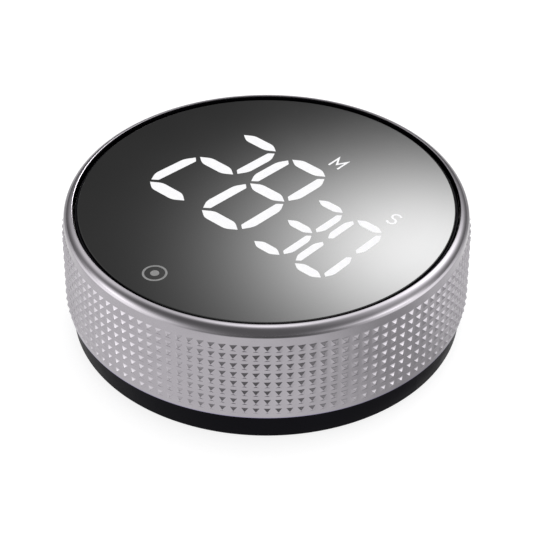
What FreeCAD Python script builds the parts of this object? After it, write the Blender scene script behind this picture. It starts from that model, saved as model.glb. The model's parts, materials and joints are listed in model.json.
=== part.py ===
import FreeCAD, Part
import math
import os

import Sketcher

# Digital kitchen timer with a rotating outer ring.
# Origin: centre of the surface it rests on. +Z up out of the panel, +Y towards the top of the digits.

V = FreeCAD.Vector
X_AXIS = V(1, 0, 0)
Y_AXIS = V(0, 1, 0)
Z_AXIS = V(0, 0, 1)
CORNERS = ((1, 1), (-1, 1), (-1, -1), (1, -1))

doc = FreeCAD.newDocument("KitchenTimer")
sheet = doc.addObject("Spreadsheet::Sheet", "Dims")

# alias, value (mm, or a plain count), what it is
DIMENSIONS = [
    ("base_z", 0.15, "underside of the base above the surface it rests on"),
    ("base_low_radius", 37.7, "base, lower edge"),
    ("base_high_radius", 37.8, "base, shoulder under the ring"),
    ("shoulder_z", 5.05, "top of the base's visible part"),
    ("floor_top", 2.6, "inside of the base's floor"),
    ("wall_out_radius", 36.2, "upright wall of base and display frame, outside"),
    ("wall_in_radius", 34.85, "upright wall, inside"),
    ("base_wall_top", 8.2, "top of the base's upright wall"),
    ("base_round", 0.5, "round on the base's lower edge"),
    ("foot_in_radius", 32.4, "rubber foot ring, inside"),
    ("foot_out_radius", 34.9, "rubber foot ring, outside"),
    ("foot_groove", 0.8, "depth of its groove in the base"),
    ("ring_low", 5.3, "lower edge of the ring"),
    ("ring_crest", 25.85, "crest of the ring's rim"),
    ("ring_inner_radius", 37.2, "ring, inside wall"),
    ("rim_inner_radius", 36.5, "inner edge of the rim round the panel"),
    ("rim_round", 1.8, "round of the polished rim"),
    ("rim_edge_round", 0.25, "round on the rim's inner edge"),
    ("rim_lip", 1.3, "height of the rim's inner lip"),
    ("ring_chamfer", 0.25, "chamfer on the ring's lower edge"),
    ("land_radius", 38.6, "ring's outside between the knurl's ridges"),
    ("knurl_tip_radius", 38.97, "tips of the knurl"),
    ("knurl_rows", 8, "rows of the knurl"),
    ("knurl_pitch", 2.04, "row to row"),
    ("knurl_first_z", 7.22, "centre of the lowest row"),
    ("knurl_half", 0.86, "half the height of a row's foot"),
    ("gear_module", 0.8, "module of ring gear and pinion"),
    ("ring_teeth", 82, "teeth of the ring gear"),
    ("pinion_teeth", 12, "teeth of the encoder's pinion"),
    ("sleeve_wall", 0.75, "ring gear's sleeve"),
    ("sleeve_low", 6.0, "ring gear's sleeve, lower end"),
    ("sleeve_high", 13.4, "ring gear's sleeve, upper end"),
    ("flange_low", 8.4, "ring gear's toothed flange, underside"),
    ("flange_high", 10.8, "ring gear's toothed flange, top"),
    ("skirt_low", 11.0, "lower edge of the display frame"),
    ("frame_top", 24.95, "top of the display frame's wall round the panel"),
    ("frame_bore", 35.92, "display frame's wall round the panel, inside"),
    ("plate_low", 22.2, "display frame's plate, underside"),
    ("plate_high", 23.2, "display frame's plate, top"),
    ("plate_bore", 27.1, "opening of the plate for the light box"),
    ("panel_radius", 35.85, "front panel"),
    ("panel_low", 23.4, "front panel, underside"),
    ("panel_top", 25.4, "front panel, top"),
    ("panel_bevel", 0.25, "bevel on the panel's edge"),
    ("film_thick", 0.2, "films and tape"),
    ("mask_radius", 27.4, "mask film"),
    ("tape_in_radius", 27.6, "panel tape, inside"),
    ("tape_out_radius", 35.4, "panel tape, outside"),
    ("box_radius", 26.9, "light box and diffuser"),
    ("box_low", 17.4, "light box, underside"),
    ("box_high", 22.9, "light box, top"),
    ("board_radius", 34.2, "main circuit board"),
    ("board_low", 16.1, "main circuit board, underside"),
    ("board_thick", 1.2, "main circuit board"),
    ("touch_x", -0.4, "touch key's centre"),
    ("touch_y", -29.65, "touch key's centre"),
    ("touch_hole", 3.3, "hole for the touch spring"),
    ("touch_coil", 2.2, "touch spring, mean radius"),
    ("boss_x", 21.0, "housing screws"),
    ("boss_y", 20.5, "housing screws"),
    ("boss_radius", 2.2, "display frame's screw bosses"),
    ("boss_low", 11.9, "display frame's screw bosses, lower end"),
    ("post_radius", 2.6, "base's screw posts"),
    ("post_top", 11.8, "base's screw posts, top"),
    ("screw_seat", 8.0, "seat of the housing screws' heads"),
    ("screw_radius", 0.95, "housing screws' shanks"),
    ("screw_tip", 18.0, "tips of the housing screws"),
    ("screw_head_radius", 1.8, "housing screws' heads"),
    ("screw_head", 1.4, "height of the housing screws' heads"),
    ("small_screw_radius", 0.75, "board screws' shanks"),
    ("small_head_radius", 1.5, "board screws' heads"),
    ("small_head", 1.0, "height of the board screws' heads"),
    ("cell_radius", 5.25, "AAA cell"),
    ("cell_length", 44.5, "AAA cell over its nub"),
    ("cell_nub", 1.1, "length of the cell's nub"),
    ("cell_nub_radius", 1.9, "cell's nub"),
    ("cell_pitch", 11.2, "cell to cell"),
    ("cell_axis_z", 7.75, "axis of the cells"),
    ("bay_half_length", 24.9, "battery bay, inside, along X"),
    ("bay_half_width", 16.8, "battery bay, inside, along Y"),
    ("bay_wall", 0.8, "battery bay's walls"),
    ("roof_low", 13.3, "battery bay's roof, underside"),
    ("roof_high", 14.2, "battery bay's roof, top"),
    ("plate_thick", 0.4, "battery contacts"),
    ("coil_wire", 0.25, "radius of the spring wire"),
    ("coil_wide", 3.3, "battery spring, radius at the plate"),
    ("coil_pitch", 1.3, "battery spring"),
    ("door_thick", 1.4, "battery door"),
    ("door_half_width", 17.6, "battery door along Y"),
    ("door_hinge_x", -25.8, "hinge line of the battery door"),
    ("door_hinge_z", 1.0, "hinge line of the battery door"),
    ("door_end_x", 26.0, "latch end of the battery door"),
    ("knuckle_radius", 0.85, "battery door's rounded hinge edge"),
    ("hinge_pin", 0.5, "battery door's hinge stubs"),
    ("hinge_reach", 0.9, "length of the hinge stubs"),
    ("door_gap", 0.2, "clearance round the battery door"),
    ("pad_thick", 0.85, "foam pad on the battery door"),
    ("magnet_radius", 4.0, "disc magnets"),
    ("magnet_thick", 2.0, "disc magnets"),
    ("magnet_x", 13.0, "disc magnets"),
    ("magnet_y", 22.3, "disc magnets"),
    ("buzzer_radius", 6.0, "buzzer"),
    ("buzzer_height", 4.2, "buzzer"),
    ("buzzer_y", 24.0, "buzzer"),
    ("switch_y", -24.0, "volume switch"),
    ("switch_travel", 2.0, "volume slider, each way"),
    ("switch_board_low", 6.6, "volume switch's board, underside"),
    ("encoder_side", 10.0, "encoder's housing, square"),
    ("encoder_low", 11.5, "encoder's housing, underside"),
    ("encoder_split", 15.3, "joint of housing and base"),
    ("shaft_radius", 1.5, "encoder's shaft"),
    ("shaft_gap", 0.05, "running clearance of the encoder's shaft"),
    ("pinion_low", 8.2, "pinion, underside"),
    ("pinion_high", 11.0, "pinion, top"),
    ("big_digit_width", 10.0, "minute digits, over the segments' centre lines"),
    ("big_digit_height", 23.9, "minute digits, over the segments' centre lines"),
    ("big_stroke", 2.2, "segments of the minute digits"),
    ("small_digit_width", 6.9, "second digits, over the segments' centre lines"),
    ("small_digit_height", 17.6, "second digits, over the segments' centre lines"),
    ("small_stroke", 1.7, "segments of the second digits"),
    ("big_base_y", -10.0, "lower segments of the minute digits"),
    ("small_base_y", -10.4, "lower segments of the second digits"),
    ("digit_middle", 0.52, "share of a digit's height at its middle segment"),
    ("big_lean", 1.8, "lean of the minute digits, top to foot"),
    ("small_lean", 0.2, "lean of the second digits, top to foot"),
]
VALUES = {}
for row, (alias, number, meaning) in enumerate(DIMENSIONS, start=1):
    sheet.set(f"A{row}", alias)
    sheet.set(f"B{row}", str(number))
    sheet.set(f"C{row}", meaning)
    sheet.setAlias(f"B{row}", alias)
    VALUES[alias] = float(number)
doc.recompute()


class Size:
    """A number together with the sheet expression that gives it."""

    def __init__(self, value, text):
        self.value = value
        self.text = text

    def joined(self, other, sign, value):
        return Size(value, f"({self.text} {sign} {sized(other).text})")

    def __add__(self, other):
        return self.joined(other, "+", self.value + sized(other).value)

    def __radd__(self, other):
        return sized(other) + self

    def __sub__(self, other):
        return self.joined(other, "-", self.value - sized(other).value)

    def __rsub__(self, other):
        return sized(other) - self

    def __mul__(self, other):
        return self.joined(other, "*", self.value * sized(other).value)

    def __rmul__(self, other):
        return sized(other) * self

    def __truediv__(self, other):
        return self.joined(other, "/", self.value / sized(other).value)

    def __neg__(self):
        return 0 - self


class Dims:
    """The sheet's cells by alias."""

    def __getattr__(self, alias):
        return Size(VALUES[alias], f"Dims.{alias}")


def sized(number):
    """The number as a Size."""
    return number if isinstance(number, Size) else Size(float(number), f"({float(number)})")


D = Dims()
ENCODER_Y = (D.ring_teeth - D.pinion_teeth) * D.gear_module / 2
BOARD_TOP = D.board_low + D.board_thick

# places across the timer, in mm
BOARD_SCREWS = ((31.0, 0.0), (-31.0, 0.0), (-14.0, -27.6))
SWITCH_POST_X = 7.2
SLIDER_KNOB = (3.4, 2.0)
SLIDER_STEM = 1.6
ENCODER_PINS_X = (-2.5, 0.0, 2.5)
BIG_DIGITS_LEFT = (-21.9, -8.0)
SMALL_DIGITS_LEFT = (6.2, 15.85)
UNIT_MARKS = ((1.5, 19.0), (20.8, 12.7))
SMALL_PARTS = (
    (-17.0, 7.5), (-17.0, 5.5), (-17.0, 3.5), (-1.0, 8.0), (-1.0, 5.5), (3.0, -4.0),
    (3.0, -6.0), (3.0, -8.5), (16.5, -5.0), (16.5, -7.5), (0.5, 12.5), (4.5, 12.5),
)
kept = []


def keep(item, label):
    """Name the finished sub-part and put it on the list to write."""
    item.Label = label
    kept.append(item)
    return item


def bind(item, **sizes):
    """Bind properties of a document object to sheet expressions."""
    for name, number in sizes.items():
        item.setExpression(name, sized(number).text)


def place(item, x=0, y=0, z=0, axis=Z_AXIS, angle=0):
    """Put a document object at a place bound to the sheet."""
    item.Placement = FreeCAD.Placement(V(0, 0, 0), FreeCAD.Rotation(axis, angle))
    for letter, number in zip("xyz", (x, y, z)):
        item.setExpression(f".Placement.Base.{letter}", sized(number).text)


# ---- sketches and PartDesign features -------------------------------------------------------

def new_sketch(body, name, plane="XY_Plane", height=0):
    """A sketch on one of the body's own origin planes, lifted by height along its normal."""
    support = [item for item in body.Origin.OriginFeatures if item.Role == plane]
    sketch = body.newObject("Sketcher::SketchObject", name)
    sketch.AttachmentSupport = [(support[0], "")]
    sketch.MapMode = "FlatFace"
    sketch.setExpression(".AttachmentOffset.Base.z", sized(height).text)
    return sketch


def tie(sketch, kind, edge, number, point=1):
    """Dimension one point of an edge from the sketch's origin, bound to the sheet."""
    number = sized(number)
    index = sketch.addConstraint(Sketcher.Constraint(kind, -1, 1, edge, point, number.value))
    sketch.setExpression(f"Constraints[{index}]", number.text)


def outline(sketch, points):
    """A closed outline of straight edges with every corner dimensioned."""
    points = [(sized(across), sized(up)) for across, up in points]
    edges = []
    for start, end in zip(points, points[1:] + points[:1]):
        line = Part.LineSegment(V(start[0].value, start[1].value), V(end[0].value, end[1].value))
        edges.append(sketch.addGeometry(line, False))
    for edge, following in zip(edges, edges[1:] + edges[:1]):
        sketch.addConstraint(Sketcher.Constraint("Coincident", edge, 2, following, 1))
    for edge, (across, up) in zip(edges, points):
        tie(sketch, "DistanceX", edge, across)
        tie(sketch, "DistanceY", edge, up)


def rectangle(sketch, x, y, width, depth):
    """A rectangle by its centre."""
    corners = ((-1, -1), (1, -1), (1, 1), (-1, 1))
    outline(sketch, [(x + i * sized(width) / 2, y + j * sized(depth) / 2) for i, j in corners])


def circle(sketch, x, y, radius):
    """A circle by its centre."""
    x, y, radius = sized(x), sized(y), sized(radius)
    edge = sketch.addGeometry(Part.Circle(V(x.value, y.value), Z_AXIS, radius.value), False)
    tie(sketch, "DistanceX", edge, x, point=3)
    tie(sketch, "DistanceY", edge, y, point=3)
    index = sketch.addConstraint(Sketcher.Constraint("Radius", edge, radius.value))
    sketch.setExpression(f"Constraints[{index}]", radius.text)


def turned(label, points, name="Turned"):
    """A body turned about Z from an outline of (radius, height) corners."""
    body = keep(doc.addObject("PartDesign::Body", label), label)
    turn(body, name, points)
    return body


def turn(body, name, points, kind="Revolution"):
    """Add a revolution, or cut a groove, about Z in a body."""
    sketch = new_sketch(body, f"{name}Outline", "XZ_Plane")
    outline(sketch, points)
    feature = body.newObject(f"PartDesign::{kind}", name)
    feature.Profile = sketch
    feature.ReferenceAxis = (sketch, ["V_Axis"])
    feature.Angle = 360
    doc.recompute()
    return feature


def pad(body, name, low, high, shapes):
    """Add a prism between two heights. shapes: (drawing function, its sizes...)."""
    sketch = new_sketch(body, f"{name}Sketch", height=low)
    for draw, *sizes in shapes:
        draw(sketch, *sizes)
    feature = body.newObject("PartDesign::Pad", name)
    feature.Profile = sketch
    bind(feature, Length=sized(high) - low)
    doc.recompute()
    return feature


def pocket(body, name, high, low, shapes):
    """Cut a prism down from one height to another."""
    sketch = new_sketch(body, f"{name}Sketch", height=high)
    for draw, *sizes in shapes:
        draw(sketch, *sizes)
    feature = body.newObject("PartDesign::Pocket", name)
    feature.Profile = sketch
    bind(feature, Length=sized(high) - low)
    doc.recompute()
    return feature


def ring_edges(feature, radius, z):
    """Names of the circular edges about Z with this radius and height."""
    names = []
    for number, edge in enumerate(feature.Shape.Edges, start=1):
        if not isinstance(edge.Curve, Part.Circle):
            continue
        off_radius = abs(edge.Curve.Radius - sized(radius).value)
        off_height = abs(edge.Curve.Center.z - sized(z).value)
        if off_radius < 1e-4 and off_height < 1e-4:
            names.append(f"Edge{number}")
    return names


def soften(body, name, kind, radius, z, size):
    """Fillet or chamfer the body's circular edge at a radius and height."""
    base = body.Tip
    feature = body.newObject(f"PartDesign::{kind}", name)
    feature.Base = (base, ring_edges(base, radius, z))
    bind(feature, **{"Radius" if kind == "Fillet" else "Size": size})
    doc.recompute()
    return feature


# ---- Part objects -----------------------------------------------------------------------------

def cylinder(name, radius, length, x=0, y=0, z=0, axis=Z_AXIS, angle=0):
    """A cylinder standing on its placement's own XY plane."""
    item = doc.addObject("Part::Cylinder", name)
    bind(item, Radius=radius, Height=length)
    place(item, x, y, z, axis, angle)
    return item


def box(name, width, depth, height, x, y, z):
    """A box centred on x and y, standing on z."""
    item = doc.addObject("Part::Box", name)
    bind(item, Length=width, Width=depth, Height=height)
    place(item, x - sized(width) / 2, y - sized(depth) / 2, z)
    return item


def fused(name, items):
    item = doc.addObject("Part::MultiFuse", name)
    item.Shapes = items
    item.Refine = True
    return item


def cut(name, base, tool):
    item = doc.addObject("Part::Cut", name)
    item.Base = base
    item.Tool = tool
    return item


def group(name, items):
    """Several separate solids in one sub-part."""
    item = doc.addObject("Part::Compound", name)
    item.Links = items
    return item


def shaped(label, shape):
    """A sub-part whose shape is worked out here from the sheet's values."""
    item = doc.addObject("Part::Feature", label)
    item.Shape = shape
    return keep(item, label)


# ---- the ring -----------------------------------------------------------------------------------

def make_knurled_ring():
    """Plated ring: polished rim, satin band, and ridges for the knurl. The ridges repeat along Z."""
    lip_low = D.ring_crest - D.rim_lip
    body = turned("knurled_ring", [
        (D.ring_inner_radius, D.ring_low),
        (D.land_radius, D.ring_low),
        (D.land_radius, D.ring_crest),
        (D.rim_inner_radius, D.ring_crest),
        (D.rim_inner_radius, lip_low),
        (D.ring_inner_radius, lip_low - (D.ring_inner_radius - D.rim_inner_radius)),
    ])
    soften(body, "RimRound", "Fillet", D.land_radius, D.ring_crest, D.rim_round)
    soften(body, "RimEdge", "Fillet", D.rim_inner_radius, D.ring_crest, D.rim_edge_round)
    soften(body, "LowerEdge", "Chamfer", D.land_radius, D.ring_low, D.ring_chamfer)
    foot = D.land_radius - 0.3
    middle = D.knurl_first_z
    ridge = turn(body, "Ridge", [
        (foot, middle - D.knurl_half),
        (D.land_radius, middle - D.knurl_half),
        (D.knurl_tip_radius, middle),
        (D.land_radius, middle + D.knurl_half),
        (foot, middle + D.knurl_half),
    ])
    rows = body.newObject("PartDesign::LinearPattern", "RidgeRows")
    rows.Originals = [ridge]
    vertical = [item for item in body.Origin.OriginFeatures if item.Role == "Z_Axis"]
    rows.Direction = (vertical[0], [""])
    bind(rows, Length=D.knurl_pitch * (D.knurl_rows - 1), Occurrences=D.knurl_rows)
    body.Tip = rows


def involute(angle):
    """Involute function of an angle in radians."""
    return math.tan(angle) - angle


def tooth_points(module, teeth, tip, root, thinning):
    """One tooth about angle 0, as (radius, angle): an involute flank up, and its mirror down."""
    pitch_radius = module * teeth / 2
    base_radius = pitch_radius * math.cos(math.radians(20))
    half = math.pi / (2 * teeth) - thinning / (2 * pitch_radius)
    at_pitch = involute(math.radians(20))
    flank = []
    steps = 3
    for step in range(steps + 1):
        radius = root + (tip - root) * step / steps
        lean = involute(math.acos(min(1.0, base_radius / radius)))
        flank.append((radius, half + at_pitch - lean))
    return flank


def toothed_face(module, teeth, tip, root, thinning, turned_by=0.0):
    """The flat face inside a closed outline of teeth that point outwards."""
    flank = tooth_points(module, teeth, tip, root, thinning)
    pitch_angle = 2 * math.pi / teeth
    points = []
    for index in range(teeth):
        middle = index * pitch_angle + turned_by
        rising = [(radius, middle - half) for radius, half in flank]
        falling = [(radius, middle + half) for radius, half in reversed(flank)]
        points += [V(r * math.cos(a), r * math.sin(a)) for r, a in rising + falling]
    return Part.Face(Part.makePolygon(points + points[:1]))


def make_ring_gear():
    """Sleeve pressed into the ring, with a flange of internal teeth.

    The spaces between its teeth are the teeth of an outward gear of the same size.
    """
    module = VALUES["gear_module"]
    teeth = int(VALUES["ring_teeth"])
    pitch_radius = module * teeth / 2
    outer = VALUES["ring_inner_radius"]
    inner = outer - VALUES["sleeve_wall"]
    low, high = VALUES["sleeve_low"], VALUES["sleeve_high"]
    flange_low, flange_high = VALUES["flange_low"], VALUES["flange_high"]
    sleeve = Part.makeCylinder(outer, high - low, V(0, 0, low))
    sleeve = sleeve.cut(Part.makeCylinder(inner, high - low, V(0, 0, low)))
    flange = Part.makeCylinder(outer, flange_high - flange_low, V(0, 0, flange_low))
    # a space is centred where the encoder's pinion has its tooth
    spaces = toothed_face(module, teeth, pitch_radius + 1.25 * module, pitch_radius - 0.75 * module,
                          -0.06, math.pi / 2)
    spaces.translate(V(0, 0, flange_low))
    flange = flange.cut(spaces.extrude(V(0, 0, flange_high - flange_low)))
    shaped("ring_gear", sleeve.fuse(flange).removeSplitter())


# ---- the housing --------------------------------------------------------------------------------

def make_base_cover():
    """Black base: floor, upright wall, battery bay, posts and pockets."""
    groove_top = D.base_z + D.foot_groove
    body = turned("base_cover", [
        (0, D.base_z),
        (D.foot_in_radius, D.base_z),
        (D.foot_in_radius, groove_top),
        (D.foot_out_radius, groove_top),
        (D.foot_out_radius, D.base_z),
        (D.base_low_radius, D.base_z),
        (D.base_high_radius, D.shoulder_z),
        (D.wall_out_radius, D.shoulder_z),
        (D.wall_out_radius, D.base_wall_top),
        (D.wall_in_radius, D.base_wall_top),
        (D.wall_in_radius, D.floor_top),
        (0, D.floor_top),
    ])
    soften(body, "LowerRound", "Fillet", D.base_low_radius, D.base_z, D.base_round)
    posts = [(circle, i * D.boss_x, j * D.boss_y, D.post_radius) for i, j in CORNERS]
    pad(body, "ScrewPosts", D.floor_top, D.post_top, posts)
    bay_length = 2 * (D.bay_half_length + D.bay_wall)
    bay_width = 2 * (D.bay_half_width + D.bay_wall)
    pad(body, "BayBlock", D.floor_top, D.roof_high, [(rectangle, 0, 0, bay_length, bay_width)])
    magnet_places = [(i * D.magnet_x, j * D.magnet_y) for i, j in CORNERS]
    magnet_top = D.base_z + D.magnet_thick + 0.1
    bosses = [(circle, x, y, D.magnet_radius + 0.9) for x, y in magnet_places]
    pad(body, "MagnetBosses", D.floor_top, magnet_top + 0.8, bosses)
    cup = [
        (circle, 0, D.buzzer_y, D.buzzer_radius + 0.2),
        (circle, 0, D.buzzer_y, D.buzzer_radius + 0.9),
    ]
    pad(body, "BuzzerCup", D.floor_top, D.floor_top + 2.2, cup)
    for side in (1, -1):
        post_x = side * sized(SWITCH_POST_X)
        pad(body, f"SwitchPost{side + 1}", D.floor_top, D.switch_board_low,
            [(circle, post_x, D.switch_y, 1.2)])
        pad(body, f"SwitchStake{side + 1}", D.switch_board_low, D.switch_board_low + 1.3,
            [(circle, post_x, D.switch_y, 0.6)])

    below = D.base_z - 1
    pocket(body, "BayInside", D.roof_low, below,
           [(rectangle, 0, 0, 2 * D.bay_half_length, 2 * D.bay_half_width)])
    door_top = D.base_z + D.door_thick
    recess_low_x = D.door_hinge_x - D.knuckle_radius - D.door_gap
    recess_high_x = D.door_end_x + D.door_gap
    recess_width = 2 * (D.door_half_width + D.door_gap)
    pocket(body, "DoorRecess", door_top + 0.1, below,
           [(rectangle, (recess_low_x + recess_high_x) / 2, 0, recess_high_x - recess_low_x, recess_width)])
    knuckle_width = 2 * (D.knuckle_radius + D.door_gap)
    pocket(body, "KnuckleRecess", D.door_hinge_z + D.knuckle_radius + 0.1, below,
           [(rectangle, D.door_hinge_x, 0, knuckle_width, recess_width)])
    pocket(body, "FingerNotch", door_top - 0.3, below, [(circle, D.door_end_x + 0.8, 0, 3.6)])
    pocket(body, "MagnetPockets", magnet_top, below,
           [(circle, x, y, D.magnet_radius + 0.05) for x, y in magnet_places])
    screw_places = [(i * D.boss_x, j * D.boss_y) for i, j in CORNERS]
    pocket(body, "ScrewBores", D.screw_seat, below,
           [(circle, x, y, D.screw_head_radius + 0.2) for x, y in screw_places])
    pocket(body, "ScrewHoles", D.post_top, D.screw_seat - 1,
           [(circle, x, y, D.screw_radius + 0.1) for x, y in screw_places])
    sound = [(circle, 0, D.buzzer_y, 0.6)]
    for index in range(6):
        angle = math.radians(60 * index)
        sound.append((circle, 2.4 * math.cos(angle), D.buzzer_y + 2.4 * math.sin(angle), 0.6))
    pocket(body, "SoundHoles", D.floor_top, below, sound)
    slot_length = 2 * D.switch_travel + SLIDER_KNOB[0] + 0.6
    pocket(body, "SliderSlot", D.floor_top, below,
           [(rectangle, 0, D.switch_y, slot_length, SLIDER_KNOB[1] + 0.6)])
    pocket(body, "SliderRecess", D.base_z + 0.7, below,
           [(rectangle, 0, D.switch_y, slot_length + 2.4, SLIDER_KNOB[1] + 2.4)])
    slots = [
        (rectangle, D.bay_half_length - 0.5, D.cell_pitch, 1.0, 3.0),
        (rectangle, -D.bay_half_length + 0.5, -D.cell_pitch, 1.0, 3.0),
    ]
    pocket(body, "TabSlots", D.roof_high, D.roof_low, slots)

    # blind holes for the battery door's hinge stubs, cut along Y from the middle plane
    sketch = new_sketch(body, "HingeHolesSketch", "XZ_Plane")
    circle(sketch, D.door_hinge_x, D.door_hinge_z, D.hinge_pin + D.shaft_gap)
    holes = body.newObject("PartDesign::Pocket", "HingeHoles")
    holes.Profile = sketch
    holes.Midplane = True
    bind(holes, Length=2 * (D.door_half_width + D.hinge_reach + D.door_gap))
    doc.recompute()


def make_display_frame():
    """Black upper moulding: skirt, plate, wall round the panel, and screw bosses."""
    body = turned("display_frame", [
        (D.wall_in_radius, D.skirt_low),
        (D.wall_out_radius, D.skirt_low),
        (D.wall_out_radius, D.frame_top),
        (D.frame_bore, D.frame_top),
        (D.frame_bore, D.plate_high),
        (D.plate_bore, D.plate_high),
        (D.plate_bore, D.plate_low),
        (D.wall_in_radius, D.plate_low),
    ])
    places = [(i * D.boss_x, j * D.boss_y) for i, j in CORNERS]
    pad(body, "ScrewBosses", D.boss_low, D.plate_low + 0.5,
        [(circle, x, y, D.boss_radius) for x, y in places])
    pad(body, "BoardBosses", BOARD_TOP, D.plate_low + 0.5,
        [(circle, x, y, 1.8) for x, y in BOARD_SCREWS])
    pocket(body, "ScrewPilots", D.screw_tip + 1, D.boss_low - 1,
           [(circle, x, y, D.screw_radius) for x, y in places])
    pocket(body, "BoardPilots", BOARD_TOP + 4, BOARD_TOP - 1,
           [(circle, x, y, D.small_screw_radius) for x, y in BOARD_SCREWS])
    pocket(body, "TouchHole", D.plate_high, D.plate_low - 1,
           [(circle, D.touch_x, D.touch_y, D.touch_hole)])


def make_housing_screws():
    """Four pan-head screws that clamp base and display frame."""
    screws = []
    for number, (i, j) in enumerate(CORNERS, start=1):
        x, y = i * D.boss_x, j * D.boss_y
        head = cylinder(f"Head{number}", D.screw_head_radius, D.screw_head, x, y,
                        D.screw_seat - D.screw_head)
        shank = cylinder(f"Shank{number}", D.screw_radius, D.screw_tip - D.screw_seat, x, y, D.screw_seat)
        drive = cylinder(f"Drive{number}", 0.8, 0.7, x, y, D.screw_seat - D.screw_head)
        screws.append(cut(f"Screw{number}", fused(f"Solid{number}", [head, shank]), drive))
    keep(group("HousingScrews", screws), "housing_screws")


def make_board_screws():
    """Three small screws that hold the main board."""
    screws = []
    for number, (x, y) in enumerate(BOARD_SCREWS, start=1):
        head = cylinder(f"SmallHead{number}", D.small_head_radius, D.small_head, x, y,
                        D.board_low - D.small_head)
        shank = cylinder(f"SmallShank{number}", D.small_screw_radius, D.board_thick + 3.2, x, y, D.board_low)
        screws.append(fused(f"SmallScrew{number}", [head, shank]))
    keep(group("BoardScrews", screws), "board_screws")


def make_foot_ring():
    """Rubber ring glued into the groove of the base. The timer rests on it."""
    turned("foot_ring", [
        (D.foot_in_radius + 0.05, 0.15),
        (D.foot_in_radius + 0.2, 0),
        (D.foot_out_radius - 0.2, 0),
        (D.foot_out_radius - 0.05, 0.15),
        (D.foot_out_radius - 0.05, D.base_z + D.foot_groove),
        (D.foot_in_radius + 0.05, D.base_z + D.foot_groove),
    ])


def make_magnets():
    discs = []
    for number, (i, j) in enumerate(CORNERS, start=1):
        discs.append(cylinder(f"Magnet{number}", D.magnet_radius, D.magnet_thick,
                              i * D.magnet_x, j * D.magnet_y, D.base_z + 0.1))
    keep(group("Magnets", discs), "magnets")


# ---- the display --------------------------------------------------------------------------------

def make_front_panel():
    """Smoked glossy disc with a bevelled edge."""
    body = turned("front_panel", [
        (0, D.panel_low),
        (D.panel_radius, D.panel_low),
        (D.panel_radius, D.panel_top),
        (0, D.panel_top),
    ])
    soften(body, "Bevel", "Chamfer", D.panel_radius, D.panel_top, D.panel_bevel)


def make_panel_tape():
    """Ring of double-sided tape between display frame and panel, with a hole for the touch spring."""
    body = turned("panel_tape", [
        (D.tape_in_radius, D.plate_high),
        (D.tape_out_radius, D.plate_high),
        (D.tape_out_radius, D.panel_low),
        (D.tape_in_radius, D.panel_low),
    ])
    pocket(body, "TouchHole", D.panel_low, D.plate_high - 1,
           [(circle, D.touch_x, D.touch_y, D.touch_hole - 0.4)])


def digit_segments(left, base, width, height, lean, stroke, middle):
    """Centre lines of a digit's seven segments, as (start, end, stroke), cut back at their ends.

    left, base: lower left corner. middle: share of the height at the middle segment.
    lean: how far the digit's top stands to the right of its foot.
    """
    back = 0.62 * stroke
    corners = []
    for level in (0.0, middle, 1.0):
        corner = V(left + lean * level, base + height * level)
        corners.append((corner, corner + V(width, 0)))
    pairs = [(corners[n][0], corners[n][1]) for n in range(3)]
    pairs += [(corners[n][side], corners[n + 1][side]) for n in range(2) for side in range(2)]
    segments = []
    for start, end in pairs:
        along = (end - start).normalize()
        segments.append((start + along * back, end - along * back, stroke))
    return segments


def all_segments():
    """Every segment of the four digits."""
    segments = []
    for kind, lefts in (("big", BIG_DIGITS_LEFT), ("small", SMALL_DIGITS_LEFT)):
        names = ("base_y", "digit_width", "digit_height", "lean", "stroke")
        sizes = [VALUES[f"{kind}_{name}"] for name in names]
        for left in lefts:
            segments += digit_segments(left, *sizes, VALUES["digit_middle"])
    return segments


def segment_prism(start, end, width, low, high):
    """A hexagonal prism along a segment: pointed ends and parallel sides."""
    along = (end - start).normalize()
    side = V(-along.y, along.x) * (width / 2)
    point = along * (width / 2)
    corners = [start, start + point + side, end - point + side, end, end - point - side, start + point - side]
    face = Part.Face(Part.makePolygon(corners + corners[:1]))
    face.translate(V(0, 0, low))
    return face.extrude(V(0, 0, high - low))


def mark_prisms(size, low, high):
    """Round windows behind the two unit marks."""
    return [Part.makeCylinder(size, high - low, V(x, y, low)) for x, y in UNIT_MARKS]


def make_light_box():
    """White block with a well for each segment, the films on it, and an LED in each well."""
    segments = all_segments()
    low, high = VALUES["box_low"], VALUES["box_high"]
    wells = [segment_prism(*segment, low, high) for segment in segments]
    wells += mark_prisms(1.6, low, high)
    block = Part.makeCylinder(VALUES["box_radius"], high - low, V(0, 0, low))
    shaped("segment_reflector", block.cut(wells))
    mask_high = VALUES["panel_low"]
    mask_low = mask_high - VALUES["film_thick"]
    windows = [segment_prism(*segment, mask_low, mask_high) for segment in segments]
    windows += mark_prisms(1.5, mask_low, mask_high)
    film = Part.makeCylinder(VALUES["mask_radius"], mask_high - mask_low, V(0, 0, mask_low))
    shaped("mask_film", film.cut(windows))
    disc = cylinder("Diffuser", D.box_radius, D.film_thick, z=D.box_high)
    keep(disc, "diffuser_film")
    board_top = VALUES["board_low"] + VALUES["board_thick"]
    leds = []
    for start, end, stroke in segments:
        along = end - start
        led = Part.makeBox(1.6, 0.8, 0.7, V(-0.8, -0.4, 0))
        led.rotate(V(0, 0, 0), Z_AXIS, math.degrees(math.atan2(along.y, along.x)))
        led.translate((start + end) / 2 + V(0, 0, board_top))
        leds.append(led)
    for x, y in UNIT_MARKS:
        leds.append(Part.makeBox(1.6, 0.8, 0.7, V(x - 0.8, y - 0.4, board_top)))
    shaped("segment_leds", Part.makeCompound(leds))


# ---- the electronics ----------------------------------------------------------------------------

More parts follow.
